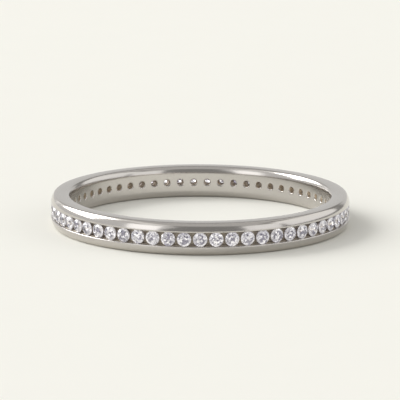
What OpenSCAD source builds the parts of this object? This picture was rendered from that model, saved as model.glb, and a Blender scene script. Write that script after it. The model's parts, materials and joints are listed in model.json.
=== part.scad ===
// A full eternity ring: round brilliants all round in a channel between two plain rails.
// It lies on its side on the plane z = 0, and its axis is Z.

/* [Finger] */
// Diameter of the finger hole
inner_d = 17.3; // [14:0.1:22]

/* [Band] */
// Thickness of the band, from the finger hole to where its outer rounding begins
wall = 1.31; // [1.2:0.01:2]
// Width of each rail, from the channel's mouth to the side face
rail_w = 0.6; // [0.5:0.01:1.2]
// How far the outer rounding drops between the channel and each side face
shoulder_drop = 0.26; // [0.1:0.02:0.6]
// How far the outer rounding reaches from each side face
shoulder_w = 0.5; // [0.2:0.05:0.9]
// How far the comfort rounding opens the finger hole at each side face
comfort_drop = 0.2; // [0.1:0.02:0.5]
// How far the comfort rounding reaches from each side face
comfort_w = 0.5; // [0.3:0.05:0.75]

/* [Stones] */
// Diameter of each stone at its girdle
stone_d = 0.94; // [0.8:0.01:1.2]
// Least gap between two stones
stone_gap = 0.1; // [0.1:0.01:0.3]
// Thickness of the girdle
girdle_h = 0.03; // [0.02:0.005:0.05]
// Width of the table as a share of the stone
table_share = 0.55; // [0.5:0.01:0.65]
// Slope of the crown's main facets, in degrees
crown_angle = 33; // [30:0.5:36]
// Slope of the pavilion's main facets, in degrees
pavilion_angle = 40.8; // [39:0.1:43]
// Length of the star facets as a share of the crown
star_share = 0.5; // [0.4:0.05:0.6]
// Length of the lower half facets as a share of the pavilion
half_share = 0.77; // [0.7:0.01:0.85]
// How far each stone is turned on its own axis from the one before it, in degrees
stone_turn = 19; // [0:1:45]
// Depth of the tables below the rails' outer face
table_depth = 0.01; // [0:0.01:0.1]

/* [Channel] */
// How far each lip reaches over the girdles
lip_cover = 0.01; // [0.005:0.005:0.03]
// Rounding of the lips' outer edges
lip_r = 0.05; // [0.02:0.01:0.08]
// Width of the bearing ledge under each side of the girdles
ledge_w = 0.05; // [0.03:0.01:0.08]
// Clearance between a stone and the metal
seat_clear = 0.02; // [0.01:0.005:0.03]

/* [Azure holes] */
// Diameter of the round hole behind each stone
hole_d = 0.42; // [0.3:0.02:0.6]
// How far the hole flares at the finger side
flare_w = 0.05; // [0.01:0.01:0.08]

/* [Hidden] */

past = 0.1;
inner_r = inner_d / 2;
outer_r = inner_r + wall;
stone_r = stone_d / 2;
mouth_w = stone_d - 2 * lip_cover;
band_w = mouth_w + 2 * rail_w;

facets = 8;
step = 360 / facets;
half = step / 2;
table_r = stone_r * table_share;
crown_h = (stone_r - table_r) * tan(crown_angle);
pavilion_h = stone_r * tan(pavilion_angle);
girdle_top = girdle_h / 2;
star_r = table_r * cos(half) + (stone_r - table_r * cos(half)) * star_share;
star_h = girdle_top + crown_h * (stone_r - star_r * cos(half)) / (stone_r - table_r);
lower_r = stone_r * (1 - half_share);
lower_h = girdle_top + pavilion_h * (1 - lower_r * cos(half) / stone_r);

girdle_r = outer_r - table_depth - crown_h - girdle_top;
count = floor(180 / asin((stone_d + stone_gap) / (2 * girdle_r)));
pitch = 360 / count;
first_at = -90;

// Half widths of the channel, and heights over the girdle's middle
groove_half = stone_r + seat_clear;
ledge_half = stone_r - ledge_w;
lip_under = girdle_top + seat_clear;
hole_r = hole_d / 2;
floor_h = -girdle_top - pavilion_h * (1 - (hole_r - seat_clear) / stone_r);

// Height of the bearing under the pavilion at a half width of the channel
function bearing_h(half_w) =
    -girdle_top - seat_clear / cos(pavilion_angle) - (stone_r - half_w) * tan(pavilion_angle);

// One ring of points around the stone's axis
function ring_points(n, r, h, turn) =
    [for (i = [0:n - 1]) [r * cos(i * 360 / n + turn), r * sin(i * 360 / n + turn), h]];

// What a rounding takes off a square corner at the origin, depth along X and width along Y
module corner_waste(depth, width) {
    difference() {
        translate([-depth, -width]) square([depth + past, width + past]);
        translate([-depth, -width]) scale([1, width / depth]) circle(depth);
    }
}

// Half of the channel's outline, from its middle to one side, the stone's axis along X
module channel_half() {
    polygon([
        [floor_h, -past],
        [floor_h, ledge_half],
        [bearing_h(ledge_half), ledge_half],
        [bearing_h(groove_half), groove_half],
        [lip_under, groove_half],
        [lip_under, mouth_w / 2],
        [outer_r - girdle_r + past, mouth_w / 2],
        [outer_r - girdle_r + past, -past]
    ]);
    translate([outer_r - girdle_r, mouth_w / 2]) mirror([0, 1]) corner_waste(lip_r, lip_r);
}

// Half of the band's section, on one side of its middle, the finger hole on the left
module band_half_section() {
    difference() {
        translate([inner_r, 0]) square([wall, band_w / 2]);
        translate([outer_r, band_w / 2]) corner_waste(shoulder_drop, shoulder_w);
        translate([inner_r, band_w / 2]) mirror([1, 0]) corner_waste(comfort_drop, comfort_w);
        translate([girdle_r, 0]) channel_half();
    }
}

// The hole behind one stone, along Z from the finger side outwards, with its flared rim
module azure_hole() {
    rotate_extrude()
        polygon([
            [0, -past],
            [hole_r + flare_w + past, -past],
            [hole_r, flare_w],
            [hole_r, wall],
            [0, wall]
        ]);
}

// Places its children at each stone, X outwards
module at_stones() {
    for (i = [0:count - 1])
        rotate([0, 0, first_at + i * pitch])
            translate([0, 0, band_w / 2])
                rotate([i * stone_turn, 0, 0])
                    children();
}

// One round brilliant, its girdle's middle at the origin and its table up
module brilliant() {
    table = ring_points(facets, table_r, girdle_top + crown_h, 0);
    stars = ring_points(facets, star_r, star_h, half);
    rim_up = ring_points(2 * facets, stone_r, girdle_top, 0);
    rim_down = ring_points(2 * facets, stone_r, -girdle_top, 0);
    lower = ring_points(facets, lower_r, -lower_h, half);
    culet = [[0, 0, -girdle_top - pavilion_h]];
    star_0 = facets;
    up_0 = star_0 + facets;
    down_0 = up_0 + 2 * facets;
    lower_0 = down_0 + 2 * facets;
    culet_0 = lower_0 + facets;
    polyhedron(
        points = concat(table, stars, rim_up, rim_down, lower, culet),
        faces = concat(
            [[for (i = [facets - 1:-1:0]) i]],
            [for (i = [0:facets - 1]) [i, (i + 1) % facets, star_0 + i]],
            [for (i = [0:facets - 1]) let (before = (i + facets - 1) % facets)
                [i, star_0 + i, up_0 + 2 * i, star_0 + before]],
            [for (i = [0:facets - 1]) [star_0 + i, up_0 + 2 * i + 1, up_0 + 2 * i]],
            [for (i = [0:facets - 1])
                [star_0 + i, up_0 + (2 * i + 2) % (2 * facets), up_0 + 2 * i + 1]],
            [for (i = [0:2 * facets - 1]) let (next = (i + 1) % (2 * facets))
                [up_0 + i, up_0 + next, down_0 + next, down_0 + i]],
            [for (i = [0:facets - 1]) [lower_0 + i, down_0 + 2 * i, down_0 + 2 * i + 1]],
            [for (i = [0:facets - 1])
                [lower_0 + i, down_0 + 2 * i + 1, down_0 + (2 * i + 2) % (2 * facets)]],
            [for (i = [0:facets - 1]) let (before = (i + facets - 1) % facets)
                [culet_0, lower_0 + before, down_0 + 2 * i, lower_0 + i]]
        )
    );
}

// The band with its two rails, the channel between them and the holes, one piece of metal
module band() {
    color([0.86, 0.85, 0.83])
        difference() {
            translate([0, 0, band_w / 2])
                rotate_extrude($fn = 180) {
                    band_half_section();
                    mirror([0, 1]) band_half_section();
                }
            at_stones()
                translate([inner_r, 0, 0]) rotate([0, 90, 0]) azure_hole($fn = 32);
        }
}

// The stones, each loose in its seat
module stones() {
    color([0.93, 0.95, 1])
        at_stones()
            translate([girdle_r, 0, 0]) rotate([0, 90, 0]) brilliant();
}

band();
stones();
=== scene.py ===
"""A full eternity ring on a pale floor: the band's polished metal, its channel of stones, and the studio."""

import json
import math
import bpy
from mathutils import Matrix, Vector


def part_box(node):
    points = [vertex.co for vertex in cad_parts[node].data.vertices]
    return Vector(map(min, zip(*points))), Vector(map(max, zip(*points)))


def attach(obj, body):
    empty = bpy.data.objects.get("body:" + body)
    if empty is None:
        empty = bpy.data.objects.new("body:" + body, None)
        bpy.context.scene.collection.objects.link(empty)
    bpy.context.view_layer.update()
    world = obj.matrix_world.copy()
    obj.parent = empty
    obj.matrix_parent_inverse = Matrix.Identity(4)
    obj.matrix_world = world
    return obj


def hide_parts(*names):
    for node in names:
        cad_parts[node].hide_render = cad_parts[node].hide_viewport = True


bl_info = {
    "name": "Channel Set Band",
    "version": (1, 0, 0),
    "blender": (4, 5, 0),
    "location": "View3D > Sidebar > Ring",
    "description": "Dresses the packed ring: polished band, cut stones, floor, lights and camera",
    "category": "Object",
}

import bmesh
import bpy
from mathutils import Matrix, Vector

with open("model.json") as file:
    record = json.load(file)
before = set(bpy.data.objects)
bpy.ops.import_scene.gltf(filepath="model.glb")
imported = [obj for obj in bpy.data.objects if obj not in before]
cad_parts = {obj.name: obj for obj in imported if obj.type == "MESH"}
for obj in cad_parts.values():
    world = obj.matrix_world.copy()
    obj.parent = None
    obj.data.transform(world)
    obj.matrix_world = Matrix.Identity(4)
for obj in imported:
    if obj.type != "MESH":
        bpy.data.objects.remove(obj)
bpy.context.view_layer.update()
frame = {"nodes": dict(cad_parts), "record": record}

MM = 0.001
BAND_LOW, BAND_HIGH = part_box("band")
STONES_LOW, STONES_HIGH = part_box("stones")
OUTER_RADIUS = BAND_HIGH.x
BAND_WIDTH = BAND_HIGH.z
MOUNTS = {mount["name"]: mount for mount in frame["record"]["mounts"]}
INNER_RADIUS = MOUNTS["finger_bore"]["dims"]["r_mm"] * MM
FLAT_WIDTH = MOUNTS["finger_bore"]["dims"]["length_mm"] * MM
STONE_DIAMETER = STONES_HIGH.z - STONES_LOW.z
MIDDLE = (STONES_HIGH.z + STONES_LOW.z) / 2

# The polished metal: size and swing of its glossier patches, how far the marks are drawn out, and
# where its painted light and shade tones in the finger hole and on the rails begin, as shares of the wall
GLOSS_PATCH = 2.5 * MM
GLOSS_SWING = 0.02
MARK_STRETCH = 12.0
INSIDE_END = 0.15
RAIL_START = 0.9

# The unpolished metal: size of its speckles and grain, and the depth over which the holes' painted light
# gives way to painted shade
SPECKLE = 0.2 * MM
GRAIN = 0.04 * MM
GRAIN_DEPTH = 0.002 * MM
HOLE_DEPTH = 0.2 * MM

# The stones: how the painted light and shade patches run from dark to light, where the painted highlight
# ring of bright facets runs, as shares of the radius, and the height over which the crown takes over from the
# parts under it
DARK_UP_TO = 0.4
LIGHT_FROM = 0.7
RING_START = 0.6
RING_FULL = 0.85
CROWN_FADE = 0.03 * MM
DIAMOND_IOR = 2.42

# The mesh: steps around each stone's cell, and along the roundings and the side faces
ANGLE_STEPS = 12
SIDE_STEPS = 8
LIP_STEPS = 4
ROUND_STEPS = 18
FACE_STEPS = 8
WALL_RINGS = (0.0, 0.5, 0.8, 1.0)
FLOOR_RINGS = (0.0, 0.5, 1.0)
RIM_TURNS = (30, 60, 90)
# Rows of the section that lie in the channel, and rows of a hole that lie on the wall and the rim
CHANNEL_ROWS = 4
WALL_ROWS = len(WALL_RINGS) + len(RIM_TURNS) - 1
SAME_POINT = 0.0001 * MM
SHARP_ANGLE = math.radians(35)

LAMP_DISTANCE = 4.0
ROOM_COLOUR = (0.98, 0.97, 0.95, 1.0)


def length(name, description, default):
    """A length that the user can change, in metres."""
    return bpy.props.FloatProperty(name=name, description=description, default=default,
                                   unit="LENGTH", precision=5)


def colour(name, description, default):
    """A colour that the user can change."""
    return bpy.props.FloatVectorProperty(name=name, description=description, default=default,
                                         size=3, min=0.0, max=1.0, subtype="COLOR")


def share(name, description, default):
    """A plain number from nought to one."""
    return bpy.props.FloatProperty(name=name, description=description, default=default,
                                   min=0.0, max=1.0)


class BandSettings(bpy.types.PropertyGroup):
    """Sizes and finish of the metal band."""

    stone_count: bpy.props.IntProperty(name="Stones", description="Stones in the channel",
                                       default=59, min=3)
    wall: length("Wall", "Thickness of the band at the middle of its width", 1.31 * MM)
    shoulder: length("Shoulder", "How far the outer rounding drops to the side face", 0.26 * MM)
    shoulder_width: length("Shoulder width", "How far the outer rounding reaches from the side face",
                           0.5 * MM)
    rail_fall: length("Rail fall", "How far each rail's outer face falls off evenly from its lip", 0.07 * MM)
    comfort: length("Comfort rounding", "How far the inner rounding opens the finger hole", 0.2 * MM)
    comfort_width: length("Comfort width", "How far the inner rounding reaches from the side face", 0.5 * MM)
    dome: length("Dome", "How far each side face falls off towards its edges", 0.05 * MM)
    lip_cover: length("Lip cover", "How far each lip reaches over the girdles", 0.01 * MM)
    lip: length("Lip rounding", "Rounding of the lips' outer edges", 0.05 * MM)
    table_depth: length("Table depth", "Depth of the stones' tables below the rails' outer face", 0.01 * MM)
    table: share("Table", "Width of the stones' tables as a share of the stone", 0.55)
    crown: bpy.props.FloatProperty(name="Crown", description="Slope of the stones' upper facets",
                                   default=math.radians(33), subtype="ANGLE")
    girdle_height: length("Girdle height", "Height of the stones' girdles", 0.03 * MM)
    pavilion: bpy.props.FloatProperty(name="Pavilion", description="Slope of the stones' lower facets",
                                      default=math.radians(40.8), subtype="ANGLE")
    ledge: length("Ledge", "Width of the bearing ledge under the girdles", 0.05 * MM)
    clearance: length("Clearance", "Room between a stone and the metal", 0.02 * MM)
    hole: length("Azure hole", "Radius of the hole behind each stone", 0.21 * MM)
    rim: length("Hole rim", "Rounding of the hole's rim", 0.05 * MM)
    metal: colour("Metal", "Colour of the polished metal", (0.62, 0.588, 0.55))
    # The finger hole's and the rails' tones are painted light and shade, each set to how bright that part
    # looks, not a different metal.
    painted_inside_tone: colour("Metal inside", "Its tone in the finger hole", (0.61, 0.583, 0.555))
    painted_rail_tone: colour("Metal on the rails", "Its tone on the rails' outer faces", (0.61, 0.583, 0.562))
    polish: share("Polish", "Roughness of the polished metal", 0.15)
    polish_inside: share("Polish inside", "Roughness of the metal in the finger hole", 0.18)
    mark: length("Polishing marks", "Width of the faint marks that run round the band", 0.08 * MM)
    mark_depth: length("Mark depth", "Depth of the polishing marks", 0.0008 * MM)
    bare: share("Bare metal", "How metallic the unpolished metal looks; the rest is chalky from casting", 0.5)
    # Painted shade: the channel's darker colour stands for the shade between and under the stones.
    inside: colour("Channel metal", "Colour of the metal in the channel", (0.50, 0.44, 0.36))
    # Painted light: a lighter colour at the holes' mouths, so they are not lost in shade.
    hole_painted_light: colour("Hole metal", "Colour of the metal in the azure holes", (0.85, 0.76, 0.64))


class StoneSettings(bpy.types.PropertyGroup):
    """Look of the cut stones."""

    stone: colour("Stone", "Colour of the stone", (1.0, 0.98, 1.0))
    # Painted light: the glow colour and its strength make the stones give out light though they are no lamp;
    # the shade colour is the faint painted glow in the dark patches.
    glow: colour("Glow", "Colour of the light from within in the bright patches", (1.0, 0.98, 0.93))
    # Painted shade: the stone's tint in its dark patches.
    painted_shade_tint: colour("Dusk", "Colour of the stone in the dark patches", (0.08, 0.07, 0.12))
    shade: colour("Shade", "Colour of the light from within in the dark patches", (0.0, 0.0, 0.04))
    # Painted highlight: how bright the ring of crown facets is painted.
    crown: share("Crown", "How bright the ring of crown facets is beside the bright patches", 0.8)
    painted_glow_strength: share("Fire", "Strength of the light from within", 0.2)
    patch: length("Patch", "Size of the patches of light and dark", 0.15 * MM)


class StageSettings(bpy.types.PropertyGroup):
    """Floor, lights and camera."""

    floor: colour("Floor", "Colour of the floor", (0.876, 0.866, 0.806))
    floor_light: colour("Floor, light", "Colour of its lighter specks", (0.884, 0.874, 0.814))
    floor_size: length("Floor size", "Width of the floor", 6.0)
    lens: bpy.props.FloatProperty(name="Lens", description="Focal length in millimetres", default=376.6)
    distance: length("Camera distance", "From the middle of the ring", 279.5 * MM)
    elevation: bpy.props.FloatProperty(name="Elevation", description="Camera angle above the floor",
                                       default=math.radians(11.87), subtype="ANGLE")
    roll: bpy.props.FloatProperty(name="Roll", description="Turn of the picture", default=math.radians(0.22),
                                  subtype="ANGLE")
    rise: length("Rise", "How far the camera stands above the line through the ring's middle", 0.545 * MM)
    side: length("Side step", "How far the camera stands to the right", -0.02 * MM)
    room: share("Room", "Brightness of the dim room around the lights", 0.3)


def new_material(name, base, **sockets):
    """A node material with one shader whose sockets are set by name, and that shader."""
    material = bpy.data.materials.new(name)
    material.use_nodes = True
    material.diffuse_color = (*base, 1.0)
    shader = material.node_tree.nodes["Principled BSDF"]
    shader.inputs["Base Color"].default_value = (*base, 1.0)
    for socket, value in sockets.items():
        shader.inputs[socket.replace("_", " ")].default_value = value
    return material, shader


def add_node(material, kind, links=(), **settings):
    """A node with its settings, and its inputs linked or set from (input, value) pairs."""
    node = material.node_tree.nodes.new("ShaderNode" + kind)
    for name, value in settings.items():
        setattr(node, name, value)
    for place, value in links:
        if isinstance(value, bpy.types.NodeSocket):
            material.node_tree.links.new(value, node.inputs[place])
        else:
            node.inputs[place].default_value = value
    return node


def feed(material, output, shader, socket):
    """Links a node's output to one of the shader's sockets."""
    material.node_tree.links.new(output, shader.inputs[socket])


def between(material, factor, low, high):
    """A number that runs from low to high as the factor runs from a quarter to three quarters."""
    node = add_node(material, "MapRange", [("Value", factor), ("From Min", 0.25), ("From Max", 0.75),
                                           ("To Min", low), ("To Max", high)])
    return node.outputs["Result"]


def noise(material, place, size, detail=2.0):
    """Soft noise with features of the given size in metres."""
    node = add_node(material, "TexNoise", [("Vector", place), ("Scale", 1.0 / size), ("Detail", detail)])
    return node.outputs["Fac"]


def mix_colours(material, factor, first, second):
    """A colour that runs from the first to the second as the factor runs from nought to one."""
    node = add_node(material, "Mix", [("Factor", factor), ("A", (*first, 1.0)), ("B", (*second, 1.0))],
                    data_type="RGBA")
    return node.outputs["Result"]


def object_place(material):
    """The point in the object's own coordinates."""
    return add_node(material, "TexCoord").outputs["Object"]


def round_the_axis(material, place, stretch):
    """The point as radius, way round the ring's axis and height, with the way round pressed together."""
    apart = add_node(material, "SeparateXYZ", [("Vector", place)])
    flat = add_node(material, "CombineXYZ", [("X", apart.outputs["X"]), ("Y", apart.outputs["Y"])])
    radius = add_node(material, "VectorMath", [(0, flat.outputs["Vector"])], operation="LENGTH")
    angle = add_node(material, "Math", [(0, apart.outputs["Y"]), (1, apart.outputs["X"])],
                     operation="ARCTAN2")
    along = add_node(material, "Math", [(0, angle.outputs["Value"]), (1, OUTER_RADIUS / stretch)],
                     operation="MULTIPLY")
    joined = add_node(material, "CombineXYZ", [("X", radius.outputs["Value"]), ("Y", along.outputs["Value"]),
                                               ("Z", apart.outputs["Z"])])
    return joined.outputs["Vector"]


def add_object(name, mesh, body="root"):
    """Links a mesh as a new object that rides on the part's body."""
    piece = bpy.data.objects.new(name, mesh)
    bpy.context.scene.collection.objects.link(piece)
    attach(piece, body)
    return piece


def polished_metal(settings):
    """White metal off a polishing wheel: faint marks round the band, and glossier on its outside."""
    material, shader = new_material("polished_white_metal", settings.metal, Metallic=1.0)
    place = object_place(material)
    gloss = between(material, noise(material, place, GLOSS_PATCH, 4.0), -GLOSS_SWING, GLOSS_SWING)
    turned = round_the_axis(material, place, MARK_STRETCH)
    radius = add_node(material, "SeparateXYZ", [("Vector", turned)])
    across = add_node(material, "MapRange", [("Value", radius.outputs["X"]), ("From Min", INNER_RADIUS),
                                             ("From Max", OUTER_RADIUS)])
    polish = add_node(material, "MapRange", [
        ("Value", across.outputs["Result"]), ("From Max", INSIDE_END),
        ("To Min", settings.polish_inside), ("To Max", settings.polish)])
    rough = add_node(material, "Math", [(0, gloss), (1, polish.outputs["Result"])], operation="ADD")
    feed(material, rough.outputs["Value"], shader, "Roughness")
    # Painted light and shade: the finger hole and the rails' outer faces get their own tones on the same
    # metal, set to how bright they look.
    tones = add_node(material, "ValToRGB", [("Fac", across.outputs["Result"])])
    stops = ((0.0, settings.painted_inside_tone), (INSIDE_END, settings.metal),
             (RAIL_START, settings.metal), (1.0, settings.painted_rail_tone))
    ramp = tones.color_ramp.elements
    for number, (place_on, tone) in enumerate(stops):
        stop = ramp[number] if number < 2 else ramp.new(place_on)
        stop.position = place_on
        stop.color = (*tone, 1.0)
    feed(material, tones.outputs["Color"], shader, "Base Color")
    marks = noise(material, turned, settings.mark)
    bump = add_node(material, "Bump", [("Strength", 1.0), ("Distance", settings.mark_depth),
                                       ("Height", marks)])
    feed(material, bump.outputs["Normal"], shader, "Normal")
    return material


def channel_metal(settings):
    """The same metal where no wheel reaches: rough from casting and mottled, with painted shade darkening it
    in the channel and painted light at the holes' mouths.
    """
    material, shader = new_material("unpolished_metal_painted_shade", settings.inside, Metallic=settings.bare)
    place = object_place(material)
    speckle = noise(material, place, SPECKLE, 3.0)
    mottle = between(material, speckle, 0.75, 1.0)
    apart = add_node(material, "SeparateXYZ", [("Vector", round_the_axis(material, place, 1.0))])
    # Painted light at the holes' mouths, fading into painted shade deeper in.
    floor = girdle_radius(settings) - floor_depth(settings)
    depth = add_node(material, "MapRange", [("Value", apart.outputs["X"]), ("From Min", floor - HOLE_DEPTH),
                                            ("From Max", floor)])
    tone = mix_colours(material, depth.outputs["Result"], settings.hole_painted_light, settings.inside)
    mottled = add_node(material, "VectorMath", [(0, tone), ("Scale", mottle)], operation="SCALE")
    feed(material, mottled.outputs["Vector"], shader, "Base Color")
    feed(material, between(material, speckle, 0.4, 0.55), shader, "Roughness")
    grain = noise(material, place, GRAIN)
    bump = add_node(material, "Bump", [("Strength", 1.0), ("Distance", GRAIN_DEPTH), ("Height", grain)])
    feed(material, bump.outputs["Normal"], shader, "Normal")
    return material


def girdle_radius(settings):
    """From the ring's axis to the stones' girdles."""
    crown = STONE_DIAMETER / 2 * (1 - settings.table) * math.tan(settings.crown)
    return INNER_RADIUS + settings.wall - settings.table_depth - crown - settings.girdle_height / 2


def floor_depth(settings):
    """How deep the channel's floor lies under the girdles, so that the stones' points fit the holes."""
    stone = STONE_DIAMETER / 2
    point = stone * math.tan(settings.pavilion)
    return settings.girdle_height / 2 + point * (1 - (settings.hole - settings.clearance) / stone)


def from_stone_axis(material, turned, band):
    """How far the point lies from the axis of the stone that it belongs to. One stone sits at -Y."""
    pitch = 2 * math.pi / band.stone_count
    quarter_on = band.stone_count + 0.5 + band.stone_count / 4
    counted = add_node(material, "Math", [(0, turned.outputs["Y"]), (1, 1 / (pitch * OUTER_RADIUS)),
                                          (2, quarter_on)], operation="MULTIPLY_ADD")
    part = add_node(material, "Math", [(0, counted.outputs["Value"])], operation="FRACT")
    width = pitch * girdle_radius(band)
    across = add_node(material, "Math", [(0, part.outputs["Value"]), (1, width), (2, -width / 2)],
                      operation="MULTIPLY_ADD")
    up = add_node(material, "Math", [(0, turned.outputs["Z"]), (1, MIDDLE)], operation="SUBTRACT")
    flat = add_node(material, "CombineXYZ", [("X", across.outputs["Value"]), ("Y", up.outputs["Value"])])
    away = add_node(material, "VectorMath", [(0, flat.outputs["Vector"])], operation="LENGTH")
    return away.outputs["Value"]


def clear_stone(settings, band):
    """A colourless cut stone. Tint and glow on its crown stand in for light that turns many times
    inside it: patches of light and dark in the middle, and a bright ring of facets round them."""
    material, shader = new_material("clear_stone", settings.stone, Roughness=0.0, IOR=DIAMOND_IOR,
                                    Transmission_Weight=1.0, Emission_Strength=settings.painted_glow_strength)
    place = object_place(material)
    turned = add_node(material, "SeparateXYZ", [("Vector", round_the_axis(material, place, 1.0))])
    # Painted light and shade: random patches decide where the crown glows and where its tint darkens.
    patches = add_node(material, "TexVoronoi", [("Vector", place), ("Scale", 1.0 / settings.patch)])
    pick = add_node(material, "SeparateColor", [("Color", patches.outputs["Color"])])
    level = add_node(material, "MapRange", [("Value", pick.outputs["Red"]),
                                            ("From Min", DARK_UP_TO), ("From Max", LIGHT_FROM)])
    radius = STONE_DIAMETER / 2
    # Painted highlight: a bright ring of crown facets round each stone's middle.
    ring = add_node(material, "MapRange", [
        ("Value", from_stone_axis(material, turned, band)),
        ("From Min", RING_START * radius), ("From Max", RING_FULL * radius), ("To Max", settings.crown)])
    most = add_node(material, "Math", [(0, level.outputs["Result"]), (1, ring.outputs["Result"])],
                    operation="MAXIMUM")
    girdle = girdle_radius(band)
    under = add_node(material, "MapRange", [("Value", turned.outputs["X"]), ("From Min", girdle),
                                            ("From Max", girdle + CROWN_FADE),
                                            ("To Min", 1.0), ("To Max", 0.0)])
    clear = add_node(material, "Math", [(0, most.outputs["Value"]), (1, under.outputs["Result"])],
                     operation="MAXIMUM")
    lit = add_node(material, "Math", [(0, most.outputs["Value"]), (1, under.outputs["Result"])],
                   operation="SUBTRACT", use_clamp=True)
    tint = mix_colours(material, clear.outputs["Value"], settings.painted_shade_tint, settings.stone)
    glow = mix_colours(material, lit.outputs["Value"], settings.shade, settings.glow)
    feed(material, tint, shader, "Base Color")
    feed(material, glow, shader, "Emission Color")
    return material


def arc(centre, radii, start, end, steps):
    """Points on a round or oval arc of the section, in degrees from the outward radial direction."""
    angles = [math.radians(start + (end - start) * i / steps) for i in range(steps + 1)]
    return [(centre[0] + radii[0] * math.cos(a), centre[1] + radii[1] * math.sin(a)) for a in angles]


def section_half(settings):
    """The band's section above its middle, from the channel's floor round to the finger hole's wall."""
    half = BAND_WIDTH / 2
    stone = STONE_DIAMETER / 2
    mouth = stone - settings.lip_cover
    groove = stone + settings.clearance
    ledge = stone - settings.ledge
    outside = INNER_RADIUS + settings.wall
    girdle = girdle_radius(settings)
    above = settings.girdle_height / 2 + settings.clearance
    below = settings.girdle_height / 2 + settings.clearance / math.cos(settings.pavilion)
    slope = math.tan(settings.pavilion)
    points = [
        (girdle - floor_depth(settings), ledge),
        (girdle - below - (stone - ledge) * slope, ledge),
        (girdle - below + (groove - stone) * slope, groove),
        (girdle + above, groove),
        (girdle + above, mouth),
    ]
    shoulder_foot = half - settings.shoulder_width
    crown = mouth + settings.lip
    points += arc((outside - settings.lip, crown), (settings.lip, settings.lip), -90, 0, LIP_STEPS)
    shoulder = arc((outside - settings.shoulder, shoulder_foot),
                   (settings.shoulder - settings.rail_fall, settings.shoulder_width), 0, 90, ROUND_STEPS)
    points += [(radius + settings.rail_fall * (half - height) / (half - crown), height)
               for radius, height in shoulder]
    reach = settings.comfort_width
    comfort = arc((INNER_RADIUS + settings.comfort, half - reach), (settings.comfort, reach),
                  90, 180, ROUND_STEPS)
    side_start, side_end = outside - settings.shoulder, comfort[0][0]
    points += [(side_start + (side_end - side_start) * step / FACE_STEPS, half)
               for step in range(1, FACE_STEPS)]
    points += comfort
    if half - reach > FLAT_WIDTH / 2:
        points.append((INNER_RADIUS, FLAT_WIDTH / 2))
    middle, run = INNER_RADIUS + settings.wall / 2, settings.wall / 2
    domed = []
    for radius, height in points:
        near = max(0.0, (height - shoulder_foot) / (half - shoulder_foot)) if radius > middle else \
            max(0.0, (height - half + reach) / reach)
        domed.append((radius, height - near * settings.dome * ((radius - middle) / run) ** 2))
    return domed


def cell_edge(radius, half_height, pitch):
    """Points around a cell of the wall, as (tangential, up), anticlockwise from its lower left corner."""
    turns = [pitch * (i / ANGLE_STEPS - 0.5) for i in range(ANGLE_STEPS)]
    ups = [half_height * (2 * i / SIDE_STEPS - 1) for i in range(SIDE_STEPS)]
    across = [radius * math.sin(t) for t in turns]
    side = radius * math.sin(pitch / 2)
    edge = [(y, -half_height) for y in across]
    edge += [(side, z) for z in ups]
    edge += [(-y, half_height) for y in across]
    edge += [(-side, -z) for z in ups]
    return edge


def cell_rings(radius, half_height, hole_radius, pitch, shares):
    """Rings of points on a wall, from a cell's edge in to the round hole in its middle."""
    edge = cell_edge(radius, half_height, pitch)
    rings = []
    for along in shares:
        ring = []
        for y, z in edge:
            turn = math.atan2(z, y)
            side = y + (hole_radius * math.cos(turn) - y) * along
            up = z + (hole_radius * math.sin(turn) - z) * along
            ring.append((math.sqrt(radius ** 2 - side ** 2), side, up))
        rings.append(ring)
    return rings


def hole_rings(settings, pitch):
    """Rings of points from the finger hole's wall through one azure hole to the channel's floor."""
    wide = settings.hole + settings.rim
    rings = cell_rings(INNER_RADIUS, FLAT_WIDTH / 2, wide, pitch, WALL_RINGS)
    edge = cell_edge(INNER_RADIUS, FLAT_WIDTH / 2, pitch)
    for degrees in RIM_TURNS:
        turn = math.radians(degrees)
        radius = settings.hole + settings.rim * (1 - math.sin(turn))
        depth = INNER_RADIUS + settings.rim * (1 - math.cos(turn))
        rings.append([(depth, radius * math.cos(a), radius * math.sin(a))
                      for a in (math.atan2(z, y) for y, z in edge)])
    floor = girdle_radius(settings) - floor_depth(settings)
    ledge = STONE_DIAMETER / 2 - settings.ledge
    rings += list(reversed(cell_rings(floor, ledge, settings.hole, pitch, FLOOR_RINGS)))
    return rings


def sector(settings):
    """Vertices and faces of the band around one stone, the stone on the X axis."""
    pitch = 2 * math.pi / settings.stone_count
    turns = [pitch * (i / ANGLE_STEPS - 0.5) for i in range(ANGLE_STEPS + 1)]
    half = section_half(settings)
    vertices, faces, inside = [], [], []
    for sign in (1, -1):
        start = len(vertices)
        for radius, height in half:
            vertices += [(radius * math.cos(t), radius * math.sin(t), sign * height) for t in turns]
        wide = len(turns)
        for row in range(len(half) - 1):
            for column in range(ANGLE_STEPS):
                a = start + row * wide + column
                quad = (a, a + 1, a + 1 + wide, a + wide)
                faces.append(quad if sign > 0 else quad[::-1])
                inside.append(row < CHANNEL_ROWS)
    start = len(vertices)
    rings = hole_rings(settings, pitch)
    around = len(rings[0])
    for ring in rings:
        vertices += ring
    for row in range(len(rings) - 1):
        for column in range(around):
            a = start + row * around + column
            b = start + row * around + (column + 1) % around
            faces.append((a, a + around, b + around, b))
            inside.append(row >= WALL_ROWS)
    return vertices, faces, inside


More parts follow.
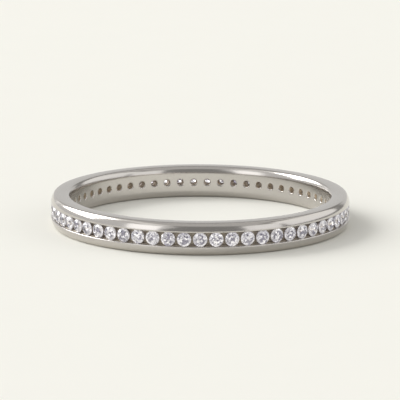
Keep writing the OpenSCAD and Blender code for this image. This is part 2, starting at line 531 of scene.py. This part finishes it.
def band_mesh(settings):
    """The whole band from one sector turned round the axis."""
    vertices, faces, inside = sector(settings)
    all_vertices, all_faces = [], []
    lift = Matrix.Translation((0, 0, MIDDLE))
    for number in range(settings.stone_count):
        turn = Matrix.Rotation(2 * math.pi * number / settings.stone_count - math.pi / 2, 4, "Z")
        place = lift @ turn
        start = len(all_vertices)
        all_vertices += [place @ Vector(v) for v in vertices]
        all_faces += [tuple(start + i for i in face) for face in faces]
    mesh = bpy.data.meshes.new("polished_band")
    mesh.from_pydata(all_vertices, [], all_faces)
    for polygon, is_inside in zip(mesh.polygons, inside * settings.stone_count):
        polygon.material_index = int(is_inside)
    work = bmesh.new()
    work.from_mesh(mesh)
    bmesh.ops.remove_doubles(work, verts=work.verts, dist=SAME_POINT)
    bmesh.ops.recalc_face_normals(work, faces=work.faces)
    work.to_mesh(mesh)
    work.free()
    mesh.shade_smooth()
    mesh.set_sharp_from_angle(angle=SHARP_ANGLE)
    return mesh


class RING_OT_band(bpy.types.Operator):
    """Make the polished band with its channel and azure holes"""

    bl_idname = "ring.band"
    bl_label = "Polished Band"

    def execute(self, context):
        settings = context.scene.ring_band
        piece = add_object("polished_band", band_mesh(settings))
        piece.data.materials.append(polished_metal(settings))
        piece.data.materials.append(channel_metal(settings))
        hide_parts("band")
        return {"FINISHED"}


class RING_OT_stones(bpy.types.Operator):
    """Give the stones their clear cut look"""

    bl_idname = "ring.stones"
    bl_label = "Stones"

    def execute(self, context):
        stones = frame["nodes"]["stones"]
        material = clear_stone(context.scene.ring_stones, context.scene.ring_band)
        stones.data.materials.clear()
        stones.data.materials.append(material)
        return {"FINISHED"}


# Name, azimuth and elevation as seen from the ring, width, height and brightness.
SOFTBOXES = (
    ("key", -114, 32, 42, 36, 5.0),
    ("left_wall", -90, 30, 120, 60, 0.4),
    ("overhead", 180, 70, 80, 50, 0.4),
    ("front_left", -45, 16, 26, 30, 0.9),
    ("front_right", 50, 16, 30, 30, 0.8),
    ("front_top", 0, 60, 80, 40, 0.3),
    ("right", 100, 25, 60, 40, 0.8),
    ("back", 180, 10, 70, 20, 0.4),
)


def softbox(name, azimuth, elevation, wide, high, radiance):
    """A rectangular softbox far off, seen from the ring at an angle and with an angular size, in degrees."""
    away = LAMP_DISTANCE
    turn, rise = math.radians(azimuth), math.radians(elevation)
    direction = Vector((math.sin(turn) * math.cos(rise), -math.cos(turn) * math.cos(rise), math.sin(rise)))
    lamp = bpy.data.lights.new(name, "AREA")
    lamp.shape = "RECTANGLE"
    lamp.size = 2 * away * math.tan(math.radians(wide) / 2)
    lamp.size_y = 2 * away * math.tan(math.radians(high) / 2)
    lamp.energy = radiance * math.pi * lamp.size * lamp.size_y
    holder = bpy.data.objects.new(name, lamp)
    bpy.context.scene.collection.objects.link(holder)
    holder.location = direction * away
    holder.rotation_mode = "QUATERNION"
    holder.rotation_quaternion = direction.to_track_quat("Z", "Y")
    return holder


def studio_air(settings):
    """The dim room around the softboxes."""
    world = bpy.data.worlds.new("studio_air")
    bpy.context.scene.world = world
    world.use_nodes = True
    background = world.node_tree.nodes["Background"]
    background.inputs["Color"].default_value = ROOM_COLOUR
    background.inputs["Strength"].default_value = settings.room


def make_floor(settings):
    """A plain pale floor."""
    half = settings.floor_size / 2
    mesh = bpy.data.meshes.new("floor")
    corners = [(-half, -half, 0), (half, -half, 0), (half, half, 0), (-half, half, 0)]
    mesh.from_pydata(corners, [], [(0, 1, 2, 3)])
    floor = bpy.data.objects.new("floor", mesh)
    bpy.context.scene.collection.objects.link(floor)
    material, shader = new_material("pale_floor", settings.floor, Roughness=1.0, Specular_IOR_Level=0.0)
    specks = noise(material, object_place(material), 4.0 * MM)
    feed(material, mix_colours(material, specks, settings.floor, settings.floor_light), shader, "Base Color")
    mesh.materials.append(material)
    return floor


def make_camera(settings):
    """The camera, looking along +Y and down on the ring."""
    lens = bpy.data.cameras.new("camera")
    lens.lens = settings.lens
    lens.sensor_width = 36.0
    lens.clip_start, lens.clip_end = 0.01, 20.0
    camera = bpy.data.objects.new("camera", lens)
    bpy.context.scene.collection.objects.link(camera)
    tilt = settings.elevation
    back = Vector((0, -math.cos(tilt), math.sin(tilt)))
    up = Vector((0, math.sin(tilt), math.cos(tilt)))
    middle = Vector((0, 0, MIDDLE))
    camera.location = middle + back * settings.distance + up * settings.rise + Vector((settings.side, 0, 0))
    camera.rotation_mode = "QUATERNION"
    roll = Matrix.Rotation(settings.roll, 4, "Z").to_quaternion()
    camera.rotation_quaternion = (-back).to_track_quat("-Z", "Y") @ roll
    bpy.context.scene.camera = camera
    return camera


class RING_OT_stage(bpy.types.Operator):
    """Make the floor, the studio lights and the camera"""

    bl_idname = "ring.stage"
    bl_label = "Stage"

    def execute(self, context):
        settings = context.scene.ring_stage
        make_floor(settings)
        make_camera(settings)
        studio_air(settings)
        for lamp in SOFTBOXES:
            softbox(*lamp)
        scene = context.scene
        scene.view_settings.view_transform = "Standard"
        scene.view_settings.look = "None"
        return {"FINISHED"}


class RING_PT_panel(bpy.types.Panel):
    """Lists the steps that dress the ring"""

    bl_label = "Channel Set Band"
    bl_idname = "RING_PT_panel"
    bl_space_type = "VIEW_3D"
    bl_region_type = "UI"
    bl_category = "Ring"

    def draw(self, context):
        for operator in STEPS:
            self.layout.operator(operator.bl_idname)


STEPS = (RING_OT_stage, RING_OT_band, RING_OT_stones)
GROUPS = {"ring_band": BandSettings, "ring_stones": StoneSettings, "ring_stage": StageSettings}


def register():
    for group in GROUPS.values():
        bpy.utils.register_class(group)
    for name, group in GROUPS.items():
        setattr(bpy.types.Scene, name, bpy.props.PointerProperty(type=group))
    for step in (*STEPS, RING_PT_panel):
        bpy.utils.register_class(step)


def unregister():
    for step in reversed((*STEPS, RING_PT_panel)):
        bpy.utils.unregister_class(step)
    for name in GROUPS:
        delattr(bpy.types.Scene, name)
    for group in reversed(list(GROUPS.values())):
        bpy.utils.unregister_class(group)


def main():
    register()
    bpy.ops.ring.stage()
    bpy.ops.ring.band()
    bpy.ops.ring.stones()


if __name__ == "__main__":
    main()
